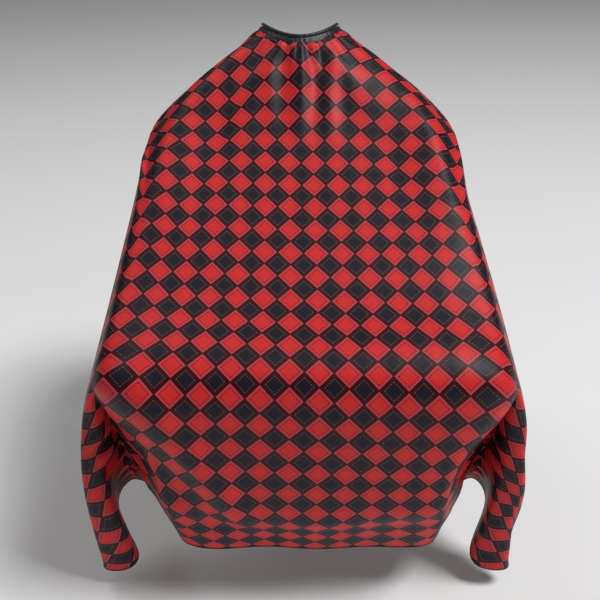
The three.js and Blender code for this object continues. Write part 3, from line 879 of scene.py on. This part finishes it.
        # Long folds down both sides and the back.
        lift += self.long_folds * np.sin(l / 17.0 + 0.012 * s) * ramp(side, 320, 430) * ramp(l, 620, 480)
        lift += self.long_folds * np.sin(s / 15.0 + 0.4) * ramp(l, -150, -290) * ramp(side, 4, 30)
        move_points(cloth, points_of(cloth) + normals_of(cloth) * (lift * MM)[:, None])

    def drape(self) -> bpy.types.Object:
        """Cuts, hangs, settles and folds the sheet.

        Returns:
            The folded sheet, one layer thick.
        """
        cut, faces = self.flat_cut()
        mesh = bpy.data.meshes.new("printed_sheet")
        mesh.from_pydata([tuple(p) for p in self.hang(cut)], [], faces)
        uv = mesh.uv_layers.new(name="cut")
        for loop in mesh.loops:
            uv.data[loop.index].uv = cut[loop.vertex_index]
        cloth = new_object("printed_sheet", mesh)
        self.settle(cloth, cut)
        apply_modifier(cloth, "SUBSURF", levels=1, render_levels=1)
        self.fold(cloth)
        return cloth

    def finish(self, cloth: bpy.types.Object, finish: PrintedCoatedPolyester) -> None:
        """Gives the folded sheet its thickness and dresses it.

        Args:
            cloth: the folded sheet, one layer thick.
            finish: the printed cloth.
        """
        one_side = len(cloth.data.polygons)
        apply_modifier(cloth, "SOLIDIFY", thickness=self.thick, offset=0.0)
        only(cloth)
        bpy.ops.object.shade_smooth()
        hand_over(cloth, Body.CAPE, Slot.PRINT, finish.material(), ["cape_sheet"])
        cloth.data.materials.append(finish.material(reverse=True))
        which = np.zeros(len(cloth.data.polygons), dtype=np.int32)
        which[one_side : 2 * one_side] = 1
        cloth.data.polygons.foreach_set("material_index", which)


@dataclass
class HemBinding:
    """The narrow rolled hem, closed with black overlock thread, along every outer edge."""

    roll: float = 1.5 * MM
    neck: float = 72 * MM  # reach on the cut within which the edge is sewn to the neckband

    def build(self, cloth: bpy.types.Object, finish: BlackSatin) -> None:
        """Follows the sheet's outer edge with a rolled cord.

        Args:
            cloth: the folded sheet, one layer thick.
            finish: the thread's finish.
        """
        piece = tube("hem_binding", self.outer_edge(cloth), self.roll, sides=1)
        shade(piece, 80)
        hand_over(piece, Body.CAPE, Slot.SATIN, finish.material(), ["edge_binding"])

    def outer_edge(self, cloth: bpy.types.Object) -> list[Vector]:
        """Walks round the sheet's open edge, from one side of the slit to the other."""
        uses: dict[tuple[int, int], int] = {}
        for face in cloth.data.polygons:
            for pair in face.edge_keys:
                uses[pair] = uses.get(pair, 0) + 1
        beside: dict[int, list[int]] = {}
        for (a, b), count in uses.items():
            if count == 1:
                beside.setdefault(a, []).append(b)
                beside.setdefault(b, []).append(a)
        reach = np.hypot(*cut_of(cloth).T)
        at_neck = {i for i in beside if reach[i] < self.neck}
        start = next(i for i in beside if i not in at_neck and at_neck & set(beside[i]))
        walk, last = [start], next(iter(at_neck & set(beside[start])))
        while True:
            ahead = next(n for n in beside[walk[-1]] if n != last)
            if ahead in at_neck:
                break
            last = walk[-1]
            walk.append(ahead)
        return [cloth.data.vertices[i].co.copy() for i in walk]


# ---- The neckband -------------------------------------------------------------------------


@dataclass
class Neckband:
    """Casing, lining, elastic and piped top edge round the neck."""

    ring: NeckRing
    cloth: float = 1.2 * MM
    lining: float = 0.9 * MM
    elastic: float = 1.0 * MM
    elastic_width: float = 8 * MM
    elastic_end: float = 96.0
    piping: float = 2.8 * MM
    gap: float = 0.3 * MM
    top_gap: float = 0.2 * MM
    pucker: float = 0.45 * MM

    def strip(
        self, name: str, start: float, end: float, top: float, bottom: float, rows: int, step: float = 1.5
    ) -> tuple[bpy.types.Object, np.ndarray]:
        """Adds a grid for a strip of the band.

        Args:
            name: the piece's name.
            start: first angle in degrees.
            end: last angle.
            top: distance down of its upper edge.
            bottom: distance down of its lower edge.
            rows: faces from top to bottom.
            step: degrees to a face.

        Returns:
            The strip, and for each of its points an angle, a distance out of 0 and a distance down.
        """
        piece = new_grid(name, int(abs(end - start) / step), rows)
        points = points_of(piece)
        angle = start + (points[:, 0] + 0.5) * (end - start)
        down = top + (0.5 - points[:, 1]) * (bottom - top)
        return piece, np.stack([angle, np.zeros(len(angle)), down], axis=1)

    def wrap(self, piece: bpy.types.Object, points: np.ndarray, thick: float, side: float) -> None:
        """Bends a strip round the neck and thickens it.

        Args:
            piece: the strip.
            points: angle, distance out and distance down of each point.
            thick: its thickness.
            side: where the thickness goes, from -1 to 1.
        """
        move_points(piece, np.array([self.ring.at(a, out, down) for a, out, down in points]))
        apply_modifier(piece, "SOLIDIFY", thickness=thick, offset=side)

    def puckers(self, angle: np.ndarray, size: float) -> np.ndarray:
        """Gives how far the elastic's gathers lift the casing at each angle."""
        beat = angle * 0.36 + 0.9 * np.sin(angle * 0.09) + 0.6 * np.sin(angle * 0.23 + 1.0)
        return size * (0.6 * np.sin(beat * 2.1) + 0.4 * np.sin(beat * 3.7 + 0.7))

    def casing(self) -> bpy.types.Object:
        """Builds the outer layer, which puckers over the elastic."""
        ring = self.ring
        bottom = ring.height + 0.6 * MM
        piece, points = self.strip("band_casing", ring.start, ring.free_end, self.top_gap, bottom, 12)
        share = points[:, 2] / ring.height
        swell = np.sin(np.clip(share, 0, 1) * math.pi) ** 0.7
        groove = 0.5 * MM * hump(share, 0.2, 0.07)
        puckers = self.puckers(points[:, 0], self.pucker) * (0.3 + 0.7 * swell)
        points[:, 1] = 1.3 * MM * swell - groove + puckers
        points[:, 2] += 0.3 * MM * np.sin(points[:, 0] * 0.5) * ramp(share, 0.7, 1.0)
        self.wrap(piece, points, self.cloth, 1.0)
        return piece

    def inner_layer(self) -> bpy.types.Object:
        """Builds the lining that faces the client's neck."""
        ring = self.ring
        bottom = ring.height + 0.3 * MM
        piece, points = self.strip("band_lining", ring.start, ring.free_end, self.top_gap, bottom, 8)
        out = -(self.cloth + 2 * self.gap + self.elastic)
        hollow = 0.3 * MM * np.sin(np.clip(points[:, 2] / ring.height, 0, 1) * math.pi)
        points[:, 1] = out - hollow + self.puckers(points[:, 0] + 40, 0.2 * MM)
        self.wrap(piece, points, self.lining, 1.0)
        return piece

    def elastic_tape(self) -> bpy.types.Object:
        """Builds the elastic between casing and lining."""
        top = (self.ring.height - self.elastic_width) / 2
        bottom = top + self.elastic_width
        piece, points = self.strip("band_elastic", -self.elastic_end, self.elastic_end, top, bottom, 4, 3.0)
        points[:, 1] = -self.cloth - self.gap - self.elastic / 2
        self.wrap(piece, points, self.elastic * 0.8, 0.0)
        return piece

    def roll(self) -> bpy.types.Object:
        """Builds the piped roll along the top edge, pinched a little at each gather."""
        angles = np.arange(self.ring.start, self.ring.free_end + 0.1, 1.5)
        middle = -(self.cloth + self.elastic + self.lining + 2 * self.gap) / 2
        out = middle + self.ring.flare * self.piping
        path = [
            self.ring.at(angle, out + pinch, -self.piping - pinch * 0.5)
            for angle, pinch in zip(angles, self.puckers(angles, 0.35 * MM))
        ]
        return tube("band_piping", path, self.piping * 0.96, sides=4)

    def stitches(self, name: str, start: float, end: float, down: float, out: float) -> bpy.types.Object:
        """Sews a row of topstitching, as separate short threads.

        Args:
            name: the piece's name.
            start: first angle.
            end: last angle.
            down: distance below the top edge.
            out: distance outside the outer face.

        Returns:
            The row of threads.
        """
        shape = ((0.2, 0.0), (0.7, 0.25 * MM), (1.7, 0.25 * MM), (2.2, 0.0))  # degrees on, lift
        threads = []
        for angle in np.arange(start, end - 1.5, 3.0):
            face = out + float(self.puckers(np.array([angle]), self.pucker)[0])
            path = [self.ring.at(angle + on, face + lift, down) for on, lift in shape]
            threads.append(tube("thread", path, 0.22 * MM, sides=0))
        return join(threads, name)

    def build(self, satin: BlackSatin, elastic: KnittedElastic) -> None:
        """Makes the whole band.

        Args:
            satin: the casing's, lining's and piping's cloth.
            elastic: the tape inside.
        """
        black, ring = satin.material(), self.ring
        layers = (
            (self.casing(), Slot.SATIN, black, ["neckband_outer"]),
            (self.inner_layer(), Slot.SATIN, black, ["neckband_lining"]),
            (self.roll(), Slot.SATIN, black, ["neck_piping"]),
            (self.elastic_tape(), Slot.ELASTIC, elastic.material(), ["neck_elastic"]),
            (
                self.stitches("band_topstitch", ring.start + 3, ring.free_end - 3, 2.4 * MM, 0.8 * MM),
                Slot.SATIN,
                black,
                [],
            ),
        )
        for piece, slot, material, nodes in layers:
            shade(piece, 60)
            hand_over(piece, Body.CAPE, slot, material, nodes)


# ---- The closure --------------------------------------------------------------------------


@dataclass
class Closure:
    """The tab over the nape, with its row of snap fasteners."""

    ring: NeckRing
    band: Neckband
    tip: float = 144.5
    first_snap: float = 165.0
    snap_pitch: float = 13.0
    studs: int = 5
    sockets: int = 2
    flange: float = 4.4  # radii of the stampings, in millimetres
    head: float = 2.0
    back_disc: float = 3.6
    socket_disc: float = 4.6
    cap_disc: float = 5.2
    seat: float = 1.9  # height of the casing's outer face over the stud's own zero
    tab_out: float = 5.0 * MM  # inner face of the tab over the sockets

    def tab(self) -> bpy.types.Object:
        """Builds the tab: it leaves the root end, climbs over the free end and has a round tip."""
        ring, root = self.ring, self.ring.root_end - 0.3
        top = self.band.top_gap
        piece, points = self.band.strip("closing_tab", self.tip, root, top, ring.height - top, 10, 0.8)
        climb = ramp(points[:, 0], root, ring.free_end + 1.5)
        reach = (points[:, 0] - self.tip) * math.radians(1) * ring.radius
        half = ring.height / 2
        inside = np.clip(1 - reach / half, 0, 1)
        points[:, 2] = half + (points[:, 2] - half) * np.sqrt(np.maximum(1 - inside**2, 0.02))
        swell = np.cos((points[:, 2] / half - 1) * math.pi / 2) * 0.35 * MM
        points[:, 1] = -self.band.cloth + (self.tab_out + self.band.cloth) * climb + swell
        self.band.wrap(piece, points, self.band.cloth, -1.0)
        sharp = math.radians(50)
        apply_modifier(piece, "BEVEL", width=0.25 * MM, segments=2, limit_method="ANGLE", angle_limit=sharp)
        return piece

    def spun(self, name: str, profile: list[tuple[float, float]]) -> bpy.types.Object:
        """Spins a stamped shape from its half section.

        Args:
            name: the piece's name.
            profile: (radius, height) pairs in millimetres, which start and end on the axis or meet.

        Returns:
            The closed shape about Z at the origin.
        """
        mesh = bpy.data.meshes.new(name)
        ring = [(radius * MM, 0.0, height * MM) for radius, height in profile]
        closed = profile[0] == profile[-1]
        count = len(ring) - 1 if closed else len(ring)
        edges = [(i, (i + 1) % count) for i in range(count if closed else count - 1)]
        mesh.from_pydata(ring[:count], edges, [])
        piece = new_object(name, mesh)
        only(piece)
        bpy.ops.object.mode_set(mode="EDIT")
        bpy.ops.mesh.select_all(action="SELECT")
        bpy.ops.mesh.spin(steps=28, angle=math.tau, center=(0, 0, 0), axis=(0, 0, 1))
        bpy.ops.mesh.select_all(action="SELECT")
        bpy.ops.mesh.remove_doubles(threshold=0.00002)
        bpy.ops.mesh.normals_make_consistent(inside=False)
        bpy.ops.object.mode_set(mode="OBJECT")
        return piece

    def copies(self, pattern: bpy.types.Object, name: str, count: int) -> list[bpy.types.Object]:
        """Seats copies of one stamped shape along the band and removes the pattern.

        Args:
            pattern: the shape about Z.
            name: the copies' name, which their number follows.
            count: how many.

        Returns:
            The copies, each with its own mesh.
        """
        made = []
        for i in range(count):
            piece = new_object(f"{name}_{i + 1}", pattern.data.copy())
            piece.data.name = piece.name
            piece.data.transform(self.ring.seat(self.first_snap - self.snap_pitch * i, self.ring.height / 2))
            made.append(piece)
        bpy.data.objects.remove(pattern)
        return made

    def build(self, satin: BlackSatin, nickel: NickelPlatedBrass) -> None:
        """Makes the tab and every part of the snaps.

        Args:
            satin: the tab's cloth.
            nickel: the snaps' metal.
        """
        tab = self.tab()
        shade(tab, 60)
        hand_over(tab, Body.TAB, Slot.SATIN, satin.material(), ["closure_tab"])
        metal = nickel.material()
        base, face = self.seat, self.tab_out / MM - 0.4
        top = (self.tab_out + self.band.cloth * 0.9) / MM
        flange, disc, socket, cap = self.flange, self.back_disc, self.socket_disc, self.cap_disc
        stud_line = [
            (0, -3.6), (1.1, -3.6), (1.1, base - 0.4), (flange - 0.3, base - 0.4), (flange, base - 0.1),
            (flange - 0.1, base + 0.25), (3.2, base + 0.4), (2.4, base + 0.5), (1.75, base + 0.8),
            (self.head, base + 1.5), (1.8, base + 1.95), (1.1, base + 2.1), (0.7, base + 1.8),
            (0, base + 1.7)]
        back_line = [
            (0, -5.6), (2.2, -5.6), (disc - 0.5, -5.4), (disc, -4.8), (disc - 0.2, -4.4), (1.5, -4.3),
            (1.5, -4.8), (0, -4.8)]
        socket_line = [
            (3.1, base + 0.5), (3.9, base + 0.4), (socket, base + 0.8), (socket, face - 0.6),
            (4.2, face - 0.1), (1.5, face - 0.1), (1.5, face - 0.5), (2.9, face - 0.5), (3.1, base + 0.5)]
        cap_line = [
            (0, face - 0.3), (1.1, face - 0.3), (1.1, top + 0.3), (cap - 0.3, top + 0.3), (cap, top + 0.55),
            (cap - 0.15, top + 0.85), (4.2, top + 1.1), (3.6, top + 1.0), (2.8, top + 1.25),
            (1.2, top + 1.45), (0, top + 1.5)]
        groups = (
            (stud_line, "stud", self.studs, Body.CAPE, "snap_stud"),
            (back_line, "stud_back", self.studs, Body.CAPE, "snap_back"),
            (socket_line, "socket", self.sockets, Body.TAB, "snap_socket"),
            (cap_line, "socket_cap", self.sockets, Body.TAB, "snap_cap"),
        )
        for line, name, count, body, node in groups:
            for i, piece in enumerate(self.copies(self.spun(name, line), name, count)):
                shade(piece, 40)
                hand_over(piece, body, Slot.NICKEL, metal, [f"{node}_{i + 1}"])


# ---- The care label -----------------------------------------------------------------------


@dataclass
class CareLabel:
    """A blank woven label that hangs from the back hem."""

    width: float = 26 * MM
    length: float = 20 * MM
    thick: float = 0.5 * MM
    curl: float = 0.4 * MM
    seam: tuple[float, float] = (0.98643, -0.1626)  # the hem's direction there, sideways and up

    def build(self, satin: WovenLabelSatin) -> None:
        """Hangs the label in its CAD place, with a seam allowance and a slight curl.

        Args:
            satin: the label's finish.
        """
        low, high = (Vector(corner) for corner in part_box("care_label"))
        centre = (low + high) / 2
        piece = new_grid("woven_label", 16, 14)
        points = points_of(piece)
        share = 0.5 - points[:, 1]
        x, z = points[:, 0] * self.width, -(share - 0.5) * self.length
        y = 0.5 * MM * share**2 * np.sin(points[:, 0] * 3) + self.curl * share**2
        tilt = math.atan2(self.seam[1], self.seam[0])
        turned_x = x * math.cos(tilt) - z * math.sin(tilt)
        turned_z = x * math.sin(tilt) + z * math.cos(tilt)
        move_points(piece, np.stack([centre.x + turned_x, centre.y + y, centre.z + turned_z], axis=1))
        apply_modifier(piece, "SOLIDIFY", thickness=self.thick, offset=0.0)
        shade(piece, 50)
        hand_over(piece, Body.LABEL, Slot.LABEL, satin.material(), ["care_label"])


# ---- The studio ---------------------------------------------------------------------------


@dataclass(frozen=True)
class Studio:
    """A pale floor, a faint white surround, soft lights and the camera."""

    floor_height: float = -0.80
    camera_place: tuple[float, float, float] = (0.0, -1.529, 0.231)
    camera_pitch: float = 65.0
    lens: float = 54.0
    surround: float = 0.06
    floor_glow: float = 0.08  # the paper lies on a light table
    aim: tuple[float, float, float] = (0.0, -0.25, -0.35)  # the middle of the cape

    def light(self, name: str, place: tuple[float, float, float], size: float, power: float) -> None:
        """Adds a square soft light that faces the cape.

        Args:
            name: the light's name.
            place: where it stands.
            size: its side.
            power: its watts.
        """
        lamp = bpy.data.lights.new(name, "AREA")
        lamp.energy, lamp.size = power, size
        holder = new_object(name, lamp)
        holder.location = place
        holder.rotation_euler = (Vector(self.aim) - Vector(place)).to_track_quat("-Z", "Y").to_euler()

    def floor(self) -> None:
        """Lays the floor."""
        deselect_all()
        bpy.ops.mesh.primitive_plane_add(size=30, location=(0, 0, self.floor_height))
        floor = bpy.context.object
        floor.name = "studio_floor"
        paint = Paint("matt white studio paper")
        tooth = paint.noise(paint.place(), 3.0)
        looks: Inputs = {"Base Color": paint.blend(tooth, "#F4F4F4", "#F8F8F8"), "Roughness": 0.9}
        looks.update({"Emission Color": linear("#FFFFFF"), "Emission Strength": self.floor_glow})
        floor.data.materials.append(paint.finish(looks))

    def build(self) -> None:
        """Sets up everything round the cape."""
        scene = bpy.context.scene
        scene.view_settings.view_transform = "Standard"
        world = bpy.data.worlds.new("white surround")
        world.use_nodes = True
        background = world.node_tree.nodes["Background"]
        background.inputs[0].default_value = linear("#FFFFFF")
        background.inputs[1].default_value = self.surround
        scene.world = world
        self.floor()
        self.light("key", (3.5, -2.1, 6.0), size=2.4, power=440)
        self.light("fill", (-2.0, 0.8, 4.0), size=2.4, power=40)
        camera = bpy.data.cameras.new("camera")
        camera.lens, camera.sensor_width = self.lens, 36.0
        holder = new_object("camera", camera)
        holder.location = self.camera_place
        holder.rotation_euler = (math.radians(self.camera_pitch), 0, 0)
        scene.camera = holder


def main() -> None:
    """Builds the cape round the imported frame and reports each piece."""
    logging.basicConfig(level=logging.INFO, format="%(message)s")
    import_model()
    Studio().build()
    ring = NeckRing()
    satin = BlackSatin()
    sheet = DrapedSheet(ring)
    cloth = sheet.drape()
    HemBinding().build(cloth, BlackSatin(name="black overlock thread", roughness=0.6))
    sheet.finish(cloth, PrintedCoatedPolyester())
    band = Neckband(ring)
    band.build(satin, KnittedElastic())
    Closure(ring, band).build(satin, NickelPlatedBrass())
    CareLabel().build(WovenLabelSatin())


if __name__ == "__main__":
    main()
